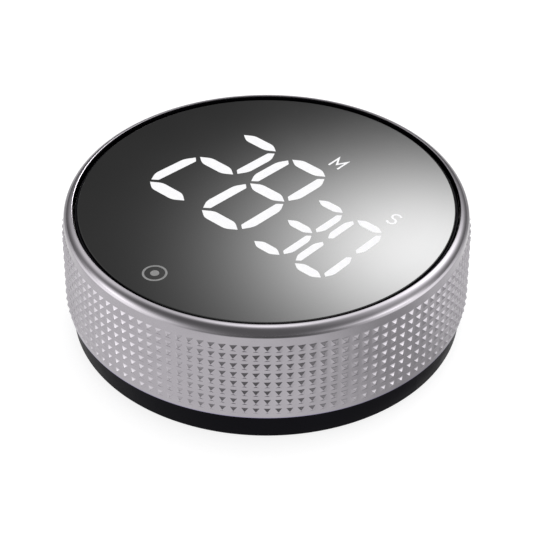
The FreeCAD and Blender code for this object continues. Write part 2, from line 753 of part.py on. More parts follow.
def make_main_board():
    """Round circuit board, cut away round the screw bosses."""
    body = keep(doc.addObject("PartDesign::Body", "main_board"), "main_board")
    pad(body, "Disc", D.board_low, BOARD_TOP, [(circle, 0, 0, D.board_radius)])
    below = D.board_low - 1
    pocket(body, "BossHoles", BOARD_TOP, below,
           [(circle, i * D.boss_x, j * D.boss_y, D.boss_radius + 0.4) for i, j in CORNERS])
    pocket(body, "ScrewHoles", BOARD_TOP, below,
           [(circle, x, y, D.small_screw_radius + 0.1) for x, y in BOARD_SCREWS])
    pocket(body, "EncoderPinHoles", BOARD_TOP, below,
           [(circle, x, ENCODER_Y + 3.5, 0.45) for x in ENCODER_PINS_X])


def make_chip(label, x, y, width, depth, pins):
    """A small-outline package under the board, with its pins."""
    height = 1.3
    top = D.board_low - 0.1
    parts = [box(f"{label}Body", width, depth, height, x, y, top - height)]
    pitch = width / (pins / 2)
    for side in (1, -1):
        for index in range(pins // 2):
            pin_x = x - width / 2 + pitch * (index + 0.5)
            name = f"{label}Pin{side + 1}{index}"
            foot_y = y + side * (depth / 2 + 0.5)
            leg_y = y + side * (depth / 2 + 0.1)
            parts.append(box(name, 0.4, 1.2, 0.2, pin_x, foot_y, D.board_low - 0.2))
            parts.append(box(f"{name}Leg", 0.4, 0.2, 0.8, pin_x, leg_y, D.board_low - 0.9))
    keep(fused(f"{label}Chip", parts), label)


def make_board_parts():
    make_chip("controller_chip", -9.0, 6.0, 10.0, 4.0, 16)
    make_chip("led_driver_chip", 9.5, -7.0, 8.0, 4.0, 12)
    can = cylinder("CrystalCan", 1.0, 6.0, -13.0, 21.3, D.board_low - 1.1, Y_AXIS, 90)
    keep(can, "crystal_can")
    can = cylinder("CapacitorCan", 2.5, 5.0, 13.5, -22.0, D.board_low - 5.4)
    foot = box("CapacitorFoot", 5.3, 5.3, 0.4, 13.5, -22.0, D.board_low - 0.4)
    keep(fused("FilterCapacitor", [can, foot]), "filter_capacitor")
    small = []
    for number, (x, y) in enumerate(SMALL_PARTS):
        small.append(box(f"SmallPart{number}", 1.6, 0.8, 0.5, x, y, D.board_low - 0.5))
    keep(group("SmallParts", small), "small_parts")


def coil_shape(wide, narrow, length, pitch, wire):
    """A round-wire spring along +Z from its base, straight or tapered."""
    taper = math.degrees(math.atan2(narrow - wide, length))
    path = Part.makeLongHelix(pitch, length, wide, taper)
    start = Part.Wire(Part.makeCircle(wire, V(wide, 0, 0), Y_AXIS))
    return Part.Wire(path.Edges).makePipeShell([start], True, True)


def make_touch_spring():
    """Coil between the board and the underside of the panel."""
    wire = VALUES["coil_wire"]
    board_top = VALUES["board_low"] + VALUES["board_thick"]
    length = VALUES["panel_low"] - board_top - 2 * wire - 0.1
    coil = coil_shape(VALUES["touch_coil"], VALUES["touch_coil"], length, 1.5, wire)
    coil.translate(V(VALUES["touch_x"], VALUES["touch_y"], board_top + wire + 0.05))
    shaped("touch_spring", coil)


def make_encoder():
    """Rotary encoder under the board: housing, base with pins, rotor with a flat, and pinion."""
    bore = D.shaft_radius + D.shaft_gap
    body = keep(doc.addObject("PartDesign::Body", "encoder_housing"), "encoder_housing")
    pad(body, "Block", D.encoder_low, D.encoder_split,
        [(rectangle, 0, ENCODER_Y, D.encoder_side, D.encoder_side)])
    pad(body, "Bush", D.encoder_low - 0.3, D.encoder_low + 0.1, [(circle, 0, ENCODER_Y, 2.6)])
    pocket(body, "Cavity", D.encoder_split, D.encoder_low + 0.8, [(circle, 0, ENCODER_Y, 3.7)])
    pocket(body, "Bore", D.encoder_low + 1, D.encoder_low - 1, [(circle, 0, ENCODER_Y, bore)])

    body = keep(doc.addObject("PartDesign::Body", "encoder_base"), "encoder_base")
    pad(body, "Plate", D.encoder_split, D.board_low,
        [(rectangle, 0, ENCODER_Y, D.encoder_side, D.encoder_side)])
    pad(body, "Pins", D.board_low - 0.2, BOARD_TOP + 0.1,
        [(circle, x, ENCODER_Y + 3.5, 0.35) for x in ENCODER_PINS_X])

    shaft_low = D.pinion_low - 0.2
    disc_low = D.encoder_low + 0.95
    shaft = cylinder("Shaft", D.shaft_radius, disc_low - shaft_low + 0.2, 0, ENCODER_Y, shaft_low)
    disc = cylinder("RotorDisc", 3.5, 1.5, 0, ENCODER_Y, disc_low)
    flat = box("ShaftFlat", 2.0, 4.0, D.pinion_high - shaft_low, D.shaft_radius + 0.5, ENCODER_Y, shaft_low)
    keep(cut("Rotor", fused("RotorSolid", [shaft, disc]), flat), "encoder_rotor")

    module = VALUES["gear_module"]
    teeth = int(VALUES["pinion_teeth"])
    pitch_radius = module * teeth / 2
    low = VALUES["pinion_low"]
    height = VALUES["pinion_high"] - low
    face = toothed_face(module, teeth, pitch_radius + 0.85 * module, pitch_radius - module, 0.06, math.pi / 2)
    gear = face.extrude(V(0, 0, height))
    hole = Part.makeCylinder(VALUES["shaft_radius"], height)
    flat_side = Part.makeBox(2.0, 4.0, height, V(VALUES["shaft_radius"] - 0.5, -2.0, 0))
    gear = gear.cut(hole.cut(flat_side))
    gear.translate(V(0, ENCODER_Y.value, low))
    shaped("encoder_pinion", gear)


def make_buzzer():
    """Round buzzer glued in its cup, sound hole down."""
    low = D.floor_top + 0.2
    can = cylinder("BuzzerCan", D.buzzer_radius, D.buzzer_height, 0, D.buzzer_y, low)
    mouth = cylinder("BuzzerMouth", 1.4, 1.2, 0, D.buzzer_y, low)
    keep(cut("Buzzer", can, mouth), "buzzer")


def make_volume_switch():
    """Three-place slide switch on its own board, and the slider that shows underneath."""
    board = box("SwitchBoard", 18.0, 7.0, 1.0, 0, D.switch_y, D.switch_board_low)
    holes = [cylinder(f"StakeHole{side + 1}", 0.65, 3.0, side * sized(SWITCH_POST_X), D.switch_y,
                      D.switch_board_low - 1) for side in (1, -1)]
    keep(cut("SwitchBoardCut", board, fused("StakeHoles", holes)), "volume_switch_board")
    body_low = D.floor_top + 0.6
    case = box("SwitchCase", 9.2, 4.4, D.switch_board_low - body_low, 0, D.switch_y, body_low)
    slot = box("SwitchSlot", 2 * D.switch_travel + SLIDER_STEM + 0.6, SLIDER_STEM + 0.6, 2.4,
               0, D.switch_y, body_low)
    keep(cut("SwitchBody", case, slot), "volume_switch_body")
    knob_low = D.base_z + 0.15
    knob = box("SliderKnob", *SLIDER_KNOB, D.floor_top + 0.2 - knob_low, 0, D.switch_y, knob_low)
    stem = box("SliderStem", SLIDER_STEM, SLIDER_STEM, 2.4, 0, D.switch_y, D.floor_top)
    keep(fused("VolumeSlider", [knob, stem]), "volume_slider")


def lead_shape(points, radius):
    """A round wire along straight runs joined by tangent arcs."""
    edges = []
    start = points[0]
    for before, corner, after in zip(points, points[1:], points[2:]):
        into = corner - before
        out = after - corner
        turn_angle = into.getAngle(out)
        room = 0.45 * min(into.Length, out.Length)
        bend = room / math.tan(turn_angle / 2)
        arc_start = corner - into.normalize() * room
        arc_end = corner + out.normalize() * room
        inward = (out - into).normalize()
        centre = corner + inward * (bend / math.cos(turn_angle / 2))
        middle = centre - inward * bend
        edges.append(Part.makeLine(start, arc_start))
        edges.append(Part.Arc(arc_start, middle, arc_end).toShape())
        start = arc_end
    edges.append(Part.makeLine(start, points[-1]))
    path = Part.Wire(edges)
    section = Part.Wire(Part.makeCircle(radius, points[0], points[1] - points[0]))
    return path.makePipeShell([section], True, False)


def make_leads():
    """Insulated wires from battery contacts, buzzer and volume switch to the board."""
    board = VALUES["board_low"]
    over_roof = VALUES["roof_high"] + 0.75
    tab_x = VALUES["bay_half_length"] + 0.7
    pitch = VALUES["cell_pitch"]
    radius = 0.5
    for label, side in (("battery_lead_red", 1), ("battery_lead_black", -1)):
        route = [
            V(side * (tab_x - 1.7), side * pitch, over_roof),
            V(side * (tab_x - 6.2), side * (pitch + 0.8), over_roof),
            V(side * (tab_x - 10.4), side * (pitch + 3.4), over_roof + 0.1),
            V(side * (tab_x - 12.2), side * (pitch + 6.8), over_roof + 0.15),
            V(side * (tab_x - 12.4), side * (pitch + 9.2), board - 1.0),
        ]
        shaped(label, lead_shape(route, radius))
    top = VALUES["floor_top"] + 0.2 + VALUES["buzzer_height"]
    pair = []
    for x in (-3.4, -1.6):
        rise = [V(x, 21.0, top), V(x, 21.0, top + 2.6)]
        reach = [V(x - 0.3, 19.9, top + 6.0), V(x - 0.3, 19.9, board)]
        pair.append(lead_shape(rise + reach, 0.45))
    shaped("buzzer_leads", Part.makeCompound(pair))
    top = VALUES["switch_board_low"] + 1.0
    wires = []
    for x in (-1.8, 0.0, 1.8):
        rise = [V(x, -22.0, top), V(x, -22.0, top + 2.6)]
        reach = [V(x + 0.3, -20.9, top + 5.8), V(x + 0.3, -20.9, board)]
        wires.append(lead_shape(rise + reach, 0.45))
    shaped("switch_leads", Part.makeCompound(wires))


# ---- the battery bay ------------------------------------------------------------------------------

def cell_directions():
    """Row of each cell, and the side its positive end points to."""
    return ((1, 1), (0, -1), (-1, 1))


def make_cells():
    """Three AAA cells in series, each turned about from the next."""
    contact_x = D.bay_half_length - D.plate_thick
    for number, (row, side) in enumerate(cell_directions(), start=1):
        y = row * D.cell_pitch
        tilt = 90 * side
        can = cylinder(f"CellCan{number}", D.cell_radius, D.cell_length - D.cell_nub,
                       side * (contact_x - D.cell_length), y, D.cell_axis_z, Y_AXIS, tilt)
        nub = cylinder(f"CellNub{number}", D.cell_nub_radius, D.cell_nub + 0.5,
                       side * (contact_x - D.cell_nub - 0.5), y, D.cell_axis_z, Y_AXIS, tilt)
        keep(fused(f"Cell{number}", [can, nub]), f"battery_cell_{number}")


def make_contacts():
    """Nickel-plated strips at both ends of the bay: two terminals and two links."""
    low = D.cell_axis_z - 4.2
    height = 8.6
    pad_width = 8.4
    end_x = D.bay_half_length - D.plate_thick / 2
    for label, side, row in (("contact_positive", 1, 1), ("contact_negative", -1, -1)):
        y = row * D.cell_pitch
        strip = box(f"{label}Strip", D.plate_thick, pad_width, height, side * end_x, y, low)
        tab = box(f"{label}Tab", D.plate_thick, 2.4, D.roof_high + 1.2 - low, side * end_x, y, low)
        keep(fused(f"{label}Solid", [strip, tab]), label)
    for label, side, row in (("contact_link_left", -1, 0.5), ("contact_link_right", 1, -0.5)):
        strip = box(label, D.plate_thick, D.cell_pitch + pad_width, height, side * end_x,
                    row * D.cell_pitch, low)
        keep(strip, label)


def make_battery_springs():
    """Tapered coil at each cell's negative end."""
    wire = VALUES["coil_wire"]
    contact_x = VALUES["bay_half_length"] - VALUES["plate_thick"]
    space = 2 * contact_x - VALUES["cell_length"]
    for number, (row, side) in enumerate(cell_directions(), start=1):
        coil = coil_shape(VALUES["coil_wide"], VALUES["coil_wide"] - 1.0, space - 2 * wire - 0.1,
                          VALUES["coil_pitch"], wire)
        coil.rotate(V(0, 0, 0), Y_AXIS, 90 * side)
        start_x = -side * (contact_x - wire - 0.05)
        coil.translate(V(start_x, row * VALUES["cell_pitch"], VALUES["cell_axis_z"]))
        shaped(f"battery_spring_{number}", coil)


def make_battery_door():
    """Door that swings on two stubs at one end and has a latch nose at the other."""
    top = D.base_z + D.door_thick
    body = doc.addObject("PartDesign::Body", "DoorPlate")
    middle = (D.door_hinge_x + D.door_end_x) / 2
    pad(body, "DoorPad", D.base_z, top,
        [(rectangle, middle, 0, D.door_end_x - D.door_hinge_x, 2 * D.door_half_width)])
    grooves = [(rectangle, D.door_end_x - 3.0 - 1.6 * index, 0, 0.7, 12 - 2 * index) for index in range(4)]
    pocket(body, "GripGrooves", D.base_z + 0.35, D.base_z - 1, grooves)
    knuckle = cylinder("Knuckle", D.knuckle_radius, 2 * D.door_half_width,
                       D.door_hinge_x, D.door_half_width, D.door_hinge_z, X_AXIS, 90)
    stub_length = 2 * (D.door_half_width + D.hinge_reach)
    stubs = cylinder("HingeStubs", D.hinge_pin, stub_length,
                     D.door_hinge_x, stub_length / 2, D.door_hinge_z, X_AXIS, 90)
    arm = box("LatchArm", 0.8, 7.0, 2.2, D.bay_half_length - 1.4, 0, top - 0.2)
    keep(fused("DoorSolid", [body, knuckle, stubs, arm]), "battery_door")
    keep(box("DoorPadFoam", 34.0, 30.0, D.pad_thick, 0, 0, top), "door_pad")


make_knurled_ring()
make_ring_gear()
make_base_cover()
make_display_frame()
make_housing_screws()
make_board_screws()
make_foot_ring()
make_magnets()
make_front_panel()
make_panel_tape()
make_light_box()
make_main_board()
make_board_parts()
make_touch_spring()
make_encoder()
make_buzzer()
make_volume_switch()
make_leads()
make_cells()
make_contacts()
make_battery_springs()
make_battery_door()
doc.recompute()

# ---- checks, then the files -------------------------------------------------------------------------

for item in doc.Objects:
    if "Invalid" in item.State or "Error" in item.State:
        raise RuntimeError(f"{item.Name} failed to recompute")
    if item.TypeId in ("PartDesign::Pocket", "PartDesign::Groove"):
        if item.Shape.Volume > item.BaseFeature.Shape.Volume - 1e-4:
            raise RuntimeError(f"{item.Name} of {item.getParentGeoFeatureGroup().Label} cuts nothing")
for item in kept:
    if item.Shape.isNull() or not item.Shape.isValid():
        raise RuntimeError(f"{item.Label} has no valid shape")

os.makedirs("parts", exist_ok=True)
for item in kept:
    item.Shape.exportStep(f"parts/{item.Label}.step")
    print(f"{item.Label:22s} solids {len(item.Shape.Solids):3d}  volume {item.Shape.Volume:10.2f} mm3")
print(len(kept), "sub-parts")
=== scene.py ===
import json
import math

import bmesh
import bpy
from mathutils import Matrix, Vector


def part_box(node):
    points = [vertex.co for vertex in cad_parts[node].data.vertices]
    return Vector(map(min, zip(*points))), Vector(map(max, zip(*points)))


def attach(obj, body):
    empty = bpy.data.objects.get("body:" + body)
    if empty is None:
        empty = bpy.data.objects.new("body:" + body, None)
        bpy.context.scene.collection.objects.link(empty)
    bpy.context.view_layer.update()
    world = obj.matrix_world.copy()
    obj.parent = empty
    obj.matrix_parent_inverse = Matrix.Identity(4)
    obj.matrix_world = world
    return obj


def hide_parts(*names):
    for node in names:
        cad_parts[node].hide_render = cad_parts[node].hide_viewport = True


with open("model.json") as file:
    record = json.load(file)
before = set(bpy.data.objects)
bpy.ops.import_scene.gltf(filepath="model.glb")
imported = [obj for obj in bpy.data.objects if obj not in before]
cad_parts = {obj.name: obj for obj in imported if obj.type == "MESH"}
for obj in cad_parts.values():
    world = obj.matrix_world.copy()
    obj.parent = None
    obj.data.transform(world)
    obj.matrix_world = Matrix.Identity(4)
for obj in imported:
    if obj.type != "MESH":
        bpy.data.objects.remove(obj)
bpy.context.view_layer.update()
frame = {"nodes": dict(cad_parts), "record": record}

# Kitchen timer: detailed ring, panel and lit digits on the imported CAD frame, with its
# materials and its studio. Lengths are in millimetres until a mesh is made, which turns
# them into metres. The camera, the floor and the lights are in metres throughout.

MM = 0.001


def millimetres(node):
    """Lowest and highest corner of a CAD node, in mm."""
    low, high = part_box(node)
    return [value / MM for value in low], [value / MM for value in high]


ring_box_low, ring_box_high = millimetres("knurled_ring")
panel_box_low, panel_box_high = millimetres("front_panel")
RING_LOW = ring_box_low[2]
RING_CREST = ring_box_high[2]
PANEL_TOP = panel_box_high[2]
PANEL_LOW = panel_box_low[2]
PANEL_RADIUS = panel_box_high[0]


# ---- meshes -----------------------------------------------------------------

def new_object(name, mesh):
    """Put a mesh in the scene as an object at the origin."""
    piece = bpy.data.objects.new(name, mesh)
    bpy.context.scene.collection.objects.link(piece)
    return piece


def mesh_object(name, points, faces, smooth=True):
    """A piece from points in mm and faces by index."""
    mesh = bpy.data.meshes.new(name)
    mesh.from_pydata([Vector(point) * MM for point in points], [], faces)
    mesh.validate()
    work = bmesh.new()
    work.from_mesh(mesh)
    bmesh.ops.recalc_face_normals(work, faces=work.faces)
    for face in work.faces:
        face.smooth = smooth
    work.to_mesh(mesh)
    work.free()
    return new_object(name, mesh)


def arc(centre, radius, start, end, steps):
    """Points of an arc, angles in degrees."""
    points = []
    for step in range(steps + 1):
        angle = math.radians(start + (end - start) * step / steps)
        points.append((centre[0] + radius * math.cos(angle), centre[1] + radius * math.sin(angle)))
    return points


def polar(radius, angle, z):
    return (radius * math.cos(angle), radius * math.sin(angle), z)


# ---- the ring ---------------------------------------------------------------

COLUMNS = 120
ROWS = 8
ROW_PITCH = 2.04
FIRST_ROW_Z = 7.22
KNURL_ANGLE = math.radians(-47.6)
KNURL_MARGIN = 0.3
LAND_TOP_RADIUS = 38.5
LAND_LOW_RADIUS = 38.68
# half widths of a pyramid's levels, and how far they stand above the land
FOOT_HALF = 0.9
WAIST_HALF = 0.64
WAIST_LIFT = 0.05
TIP_HALF = 0.05
TIP_LIFT = 0.41
RIDGE_BEVEL = 0.06
RIDGE_SHARP_ANGLE = math.radians(20)
RING_INNER = 37.2
RIM_INNER = 36.68
RIM_ROUND = 2.05
RIM_ROUND_START = 80
RIM_EDGE_ROUND = 0.12
RIM_LIP = 1.3
LOW_CHAMFER = 0.25


def ring_profile_above():
    """Inside of the ring and its rim, from the lower edge up and over to the knurl."""
    lip_low = RING_CREST - RIM_LIP
    slope_low = lip_low - (RING_INNER - RIM_INNER)
    inner_round = (RIM_INNER + RIM_EDGE_ROUND, RING_CREST - RIM_EDGE_ROUND)
    outer_round = (LAND_TOP_RADIUS - RIM_ROUND, RING_CREST - RIM_ROUND)
    points = [(RING_INNER, RING_LOW), (RING_INNER, slope_low), (RIM_INNER, lip_low)]
    points += arc(inner_round, RIM_EDGE_ROUND, 180, 90, 4)
    points += arc(outer_round, RIM_ROUND, RIM_ROUND_START, 0, 16)
    return points


def land_radius(z):
    """The ring widens a little downwards, as a casting does to leave its mould."""
    share = (RING_CREST - RIM_ROUND - z) / (RING_CREST - RIM_ROUND - RING_LOW)
    return LAND_TOP_RADIUS + (LAND_LOW_RADIUS - LAND_TOP_RADIUS) * share


def ring_levels(rows_high_to_low):
    """The ring's levels as (radius, z, half angle of a column), and where the rows begin."""
    even = math.pi / (2 * COLUMNS)
    foot = math.asin(FOOT_HALF / LAND_TOP_RADIUS)
    levels = [(radius, z, even) for radius, z in ring_profile_above()]
    band_low = rows_high_to_low[0] + FOOT_HALF + KNURL_MARGIN
    levels.append((land_radius(band_low), band_low, even))
    first_row_level = len(levels)
    for middle in rows_high_to_low:
        for z in (middle + FOOT_HALF, middle - FOOT_HALF):
            levels.append((land_radius(z), z, foot))
    chamfer_top = RING_LOW + LOW_CHAMFER
    levels.append((land_radius(chamfer_top), chamfer_top, even))
    levels.append((land_radius(RING_LOW) - LOW_CHAMFER, RING_LOW, even))
    return levels, first_row_level


def add_pyramid(points, faces, ridges, outline, angle, z):
    """Raise a pyramid from this outline: gently up to its waist, then steeply to its small tip."""
    for half, lift in ((WAIST_HALF, WAIST_LIFT), (TIP_HALF, TIP_LIFT)):
        radius = land_radius(z) + lift
        inner = []
        for turn, rise in ((-1, 1), (1, 1), (1, -1), (-1, -1)):
            inner.append(len(points))
            points.append(polar(radius, angle + turn * half / radius, z + rise * half))
        for side in range(4):
            following = (side + 1) % 4
            faces.append([outline[side], outline[following], inner[following], inner[side]])
            if half == TIP_HALF:
                ridges.append((outline[side], inner[side]))
                ridges.append((inner[side], inner[following]))
        outline = inner
    faces.append(outline)


def build_ring():
    """The ring as one closed mesh: a turned profile whose outside carries rows of pyramids."""
    rows_high_to_low = [FIRST_ROW_Z + ROW_PITCH * row for row in reversed(range(ROWS))]
    levels, first_row_level = ring_levels(rows_high_to_low)
    points = []
    for radius, z, half in levels:
        for column in range(COLUMNS):
            middle = KNURL_ANGLE + 2 * math.pi * column / COLUMNS
            points.append(polar(radius, middle - half, z))
            points.append(polar(radius, middle + half, z))

    stops = 2 * COLUMNS
    faces = []
    ridges = []
    for level in range(len(levels)):
        upper = level * stops
        lower = (level + 1) % len(levels) * stops
        row = (level - first_row_level) // 2
        is_row = (level - first_row_level) % 2 == 0 and 0 <= row < ROWS
        for stop in range(stops):
            after = (stop + 1) % stops
            outline = [upper + stop, upper + after, lower + after, lower + stop]
            if is_row and stop % 2 == 0:
                angle = KNURL_ANGLE + math.pi * stop / COLUMNS
                add_pyramid(points, faces, ridges, outline, angle, rows_high_to_low[row])
            else:
                faces.append(outline)

    ring = mesh_object("knurled_ring_detail", points, faces)
    weigh_ridges(ring, ridges)
    bevel = ring.modifiers.new("SoftRidges", "BEVEL")
    bevel.width = RIDGE_BEVEL * MM
    bevel.segments = 2
    bevel.limit_method = "WEIGHT"
    bevel.harden_normals = True
    return ring


def weigh_ridges(ring, ridges):
    """Mark the pyramids' ridges for the bevel, and the edges that stay sharp in shading."""
    mesh = ring.data
    chosen = {tuple(sorted(edge)) for edge in ridges}
    weight = mesh.attributes.new("bevel_weight_edge", "FLOAT", "EDGE")
    for edge in mesh.edges:
        weight.data[edge.index].value = 1.0 if tuple(sorted(edge.vertices)) in chosen else 0.0
    mesh.set_sharp_from_angle(angle=RIDGE_SHARP_ANGLE)


# ---- the panel, and the base's edge -----------------------------------------

TURNED_STOPS = 256
TURNED_SHARP_ANGLE = math.radians(50)
PANEL_EDGE_ROUND = 0.25
PANEL_STEP = 0.02
# the base's rounded lower edge, and the skin over it
BASE_ROUND_CENTRE = (37.21, 0.65)
BASE_SKIN_ROUND = 0.53
BASE_SKIN_TOP = 1.3
BASE_SKIN_TOP_RADII = (37.45, 37.70)
BASE_SKIN_INNER_END = (36.9, 0.2)


def turned(name, profile, closed=False):
    """Turn a profile of (radius, z) about Z. It is closed, or starts and ends on the axis."""
    stops = TURNED_STOPS
    points = []
    rows = []
    for radius, z in profile:
        if radius < 1e-6:
            rows.append([len(points)])
            points.append((0, 0, z))
            continue
        rows.append(list(range(len(points), len(points) + stops)))
        points += [polar(radius, 2 * math.pi * stop / stops, z) for stop in range(stops)]
    faces = []
    pairs = list(zip(rows, rows[1:]))
    if closed:
        pairs.append((rows[-1], rows[0]))
    for upper, lower in pairs:
        for stop in range(stops):
            after = (stop + 1) % stops
            if len(upper) == 1:
                faces.append([upper[0], lower[after], lower[stop]])
            elif len(lower) == 1:
                faces.append([upper[stop], upper[after], lower[0]])
            else:
                faces.append([upper[stop], upper[after], lower[after], lower[stop]])
    piece = mesh_object(name, points, faces)
    piece.data.set_sharp_from_angle(angle=TURNED_SHARP_ANGLE)
    return piece


def build_base_edge():
    """Finely turned skin over the base's rounded lower edge. Both its ends sink into the base."""
    profile = [(radius, BASE_SKIN_TOP) for radius in BASE_SKIN_TOP_RADII]
    profile += arc(BASE_ROUND_CENTRE, BASE_SKIN_ROUND, 0, -90, 10)
    profile.append(BASE_SKIN_INNER_END)
    return turned("base_edge_round", profile, closed=True)


def build_panel():
    """Glossy disc with a rounded upper edge."""
    flat_radius = PANEL_RADIUS - PANEL_EDGE_ROUND
    flat_low = PANEL_TOP - PANEL_EDGE_ROUND
    profile = [(0, PANEL_TOP), (PANEL_RADIUS * 0.5, PANEL_TOP)]
    profile.append((flat_radius - PANEL_STEP, PANEL_TOP))
    profile += arc((flat_radius, flat_low), PANEL_EDGE_ROUND, 90, 0, 6)
    profile += [(PANEL_RADIUS, flat_low - PANEL_STEP), (PANEL_RADIUS, PANEL_LOW + PANEL_STEP)]
    profile += [(PANEL_RADIUS - PANEL_STEP, PANEL_LOW), (0, PANEL_LOW)]
    return turned("front_panel_gloss", profile)


# ---- the lit display --------------------------------------------------------

LIT_HEIGHT = 0.012
# lit segments: a, g, d lie level from top to foot; b, c stand on the right and f, e on the left
LIT = {"2": "abged", "8": "abcdefg", "3": "abgcd", "0": "abcdef"}
# the artwork narrows towards its top about this x, and its level segments thin out, per mm
KEYSTONE = 0.003
KEYSTONE_X = 15.0
THINNING = 0.006


class DigitStyle:
    """Sizes of one size of digit, in mm, before the keystone."""

    def __init__(self, foot, height, middle, width, across, upright):
        self.foot = foot
        self.height = height
        self.middle = middle
        self.width = width
        self.across = across
        self.upright = upright


BIG = DigitStyle(foot=-9.9, height=23.9, middle=0.523, width=9.75, across=2.55, upright=2.15)
SMALL = DigitStyle(foot=-10.4, height=17.7, middle=0.51, width=6.93, across=1.93, upright=1.6)
DIGITS = (("2", BIG, -20.6), ("8", BIG, -7.2), ("3", SMALL, 6.22), ("0", SMALL, 15.93))
LEVEL_GAP = 0.42
UPRIGHT_GAP = 0.72
MINUTES_MARK = (1.6, 19.0)
MINUTES_MARK_SIZE = 3.05
SECONDS_MARK = (21.2, 12.2)
SECONDS_MARK_SIZE = 3.1
MARK_STROKE_HALF = 0.2
TOUCH_CENTRE = (-0.45, -29.6)
TOUCH_OUTER = 2.32
TOUCH_INNER = 1.92
TOUCH_DOT = 0.82
# small rounds at a segment's points and at its inner corners
POINT_ROUND = 0.12
CUT_ROUND = 0.2


def keystoned(x, y):
    """The display's artwork narrows a little towards its top."""
    return (KEYSTONE_X + (x - KEYSTONE_X) / (1 + KEYSTONE * y), y)


def rounded(corners, radii):
    """A closed outline with each corner rounded by a quadratic curve over the given length."""
    steps = 5
    outline = []
    for index, (corner, length) in enumerate(zip(corners, radii)):
        corner = Vector(corner)
        before = Vector(corners[index - 1])
        after = Vector(corners[(index + 1) % len(corners)])
        start = corner + (before - corner).normalized() * length
        end = corner + (after - corner).normalized() * length
        for step in range(steps + 1):
            share = step / steps
            bent = 2 * share * (1 - share) * corner
            outline.append((1 - share) ** 2 * start + bent + share ** 2 * end)
    return outline


def across_segment(x0, x1, y, thick):
    """Outline of a level segment: a point at each end and rounded shoulders."""
    half = thick / (1 + THINNING * y) / 2
    tip = 0.74 * thick
    bend = 0.32 * thick
    corners = [(x0, y), (x0 + tip, y - half), (x1 - tip, y - half)]
    corners += [(x1, y), (x1 - tip, y + half), (x0 + tip, y + half)]
    return rounded(corners, (POINT_ROUND, bend, bend, POINT_ROUND, bend, bend))


def upright_segment(x, y0, y1, thick, outward):
    """Outline of an upright segment: straight inside, with long rounded shoulders outside.

    outward: 1 where the digit's outside is on the right, and -1 where it is on the left.
    """
    inner = 0.48 * thick
    outer = 0.52 * thick
    cut = 0.40 * thick
    shoulder = 0.92 * thick
    bend = 0.42 * thick

    def at(offset, y):
        return (x + outward * offset, y)

    corners = [at(0, y0), at(outer, y0 + shoulder), at(outer, y1 - shoulder)]
    corners += [at(0, y1), at(-inner, y1 - cut), at(-inner, y0 + cut)]
    return rounded(corners, (POINT_ROUND, bend, bend, POINT_ROUND, CUT_ROUND, CUT_ROUND))


def digit_outlines(figure, style, left):
    """Outlines of a digit's lit segments, in mm."""
    right = left + style.width
    foot = style.foot
    middle = foot + style.height * style.middle
    top = foot + style.height
    level = {"a": top, "g": middle, "d": foot}
    upright = {
        "b": (right, middle, top, 1),
        "c": (right, foot, middle, 1),
        "f": (left, middle, top, -1),
        "e": (left, foot, middle, -1),
    }
    outlines = []
    for name in LIT[figure]:
        if name in level:
            ends = (left + LEVEL_GAP, right - LEVEL_GAP)
            outlines.append(across_segment(*ends, level[name], style.across))
        else:
            x, low, high, outward = upright[name]
            ends = (low + UPRIGHT_GAP, high - UPRIGHT_GAP)
            outlines.append(upright_segment(x, *ends, style.upright, outward))
    return outlines


def lit_plate(name, outlines, material):
    """Thin plates with these outlines lying on the panel, as one piece."""
    points = []
    faces = []
    for outline in outlines:
        count = len(outline)
        first = len(points)
        points += [(x, y, PANEL_TOP) for x, y in outline]
        points += [(x, y, PANEL_TOP + LIT_HEIGHT) for x, y in outline]
        faces.append([first + n for n in range(count)])
        faces.append([first + count + n for n in range(count)])
        for n in range(count):
            after = (n + 1) % count
            faces.append([first + n, first + after, first + count + after, first + count + n])
    piece = mesh_object(name, points, faces, smooth=False)
    piece.data.materials.append(material)
    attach(piece, "base")
    return piece


def build_digits(material):
    """The four digits, one piece each."""
    for number, (figure, style, left) in enumerate(DIGITS, start=1):
        outlines = []
        for outline in digit_outlines(figure, style, left):
            outlines.append([keystoned(point.x, point.y) for point in outline])
        piece = lit_plate(f"lit_digit_{number}", outlines, material)


def stroke_outline(route, half):
    """Outline of a line of even width along a route of points, with square ends."""
    route = [Vector(point) for point in route]
    left_side = []
    right_side = []
    for index, point in enumerate(route):
        ahead = route[min(index + 1, len(route) - 1)] - point
        behind = point - route[max(index - 1, 0)]
        ahead = ahead.normalized() if ahead.length else behind.normalized()
        behind = behind.normalized() if behind.length else ahead
        along = (ahead + behind).normalized()
        normal = Vector((-along.y, along.x))
        reach = half / max(0.3, normal.dot(Vector((-ahead.y, ahead.x))))
        left_side.append(point + normal * reach)
        right_side.append(point - normal * reach)
    return left_side + list(reversed(right_side))


def letter_m(centre, size):
    """Route of the letter M."""
    x, y = centre
    half = size * 0.36
    low, high = y - size / 2, y + size / 2
    dip = (x, y - size * 0.12)
    return [(x - half, low), (x - half, high), dip, (x + half, high), (x + half, low)]


def letter_s(centre, size):
    """Route of the letter S, from two arcs and a straight between them."""
    x, y = centre
    radius = size * 0.25
    upper = arc((x, y + size / 2 - radius), radius, 30, 250, 12)
    lower = arc((x, y - size / 2 + radius), radius, 70, -150, 12)
    wide = 1.12
    return [(x + (px - x) * wide, py) for px, py in upper + lower]


def circle_outline(centre, radius, count):
    """A circle as a closed outline of count points."""
    return arc(centre, radius, 0, 360 * (count - 1) / count, count - 1)


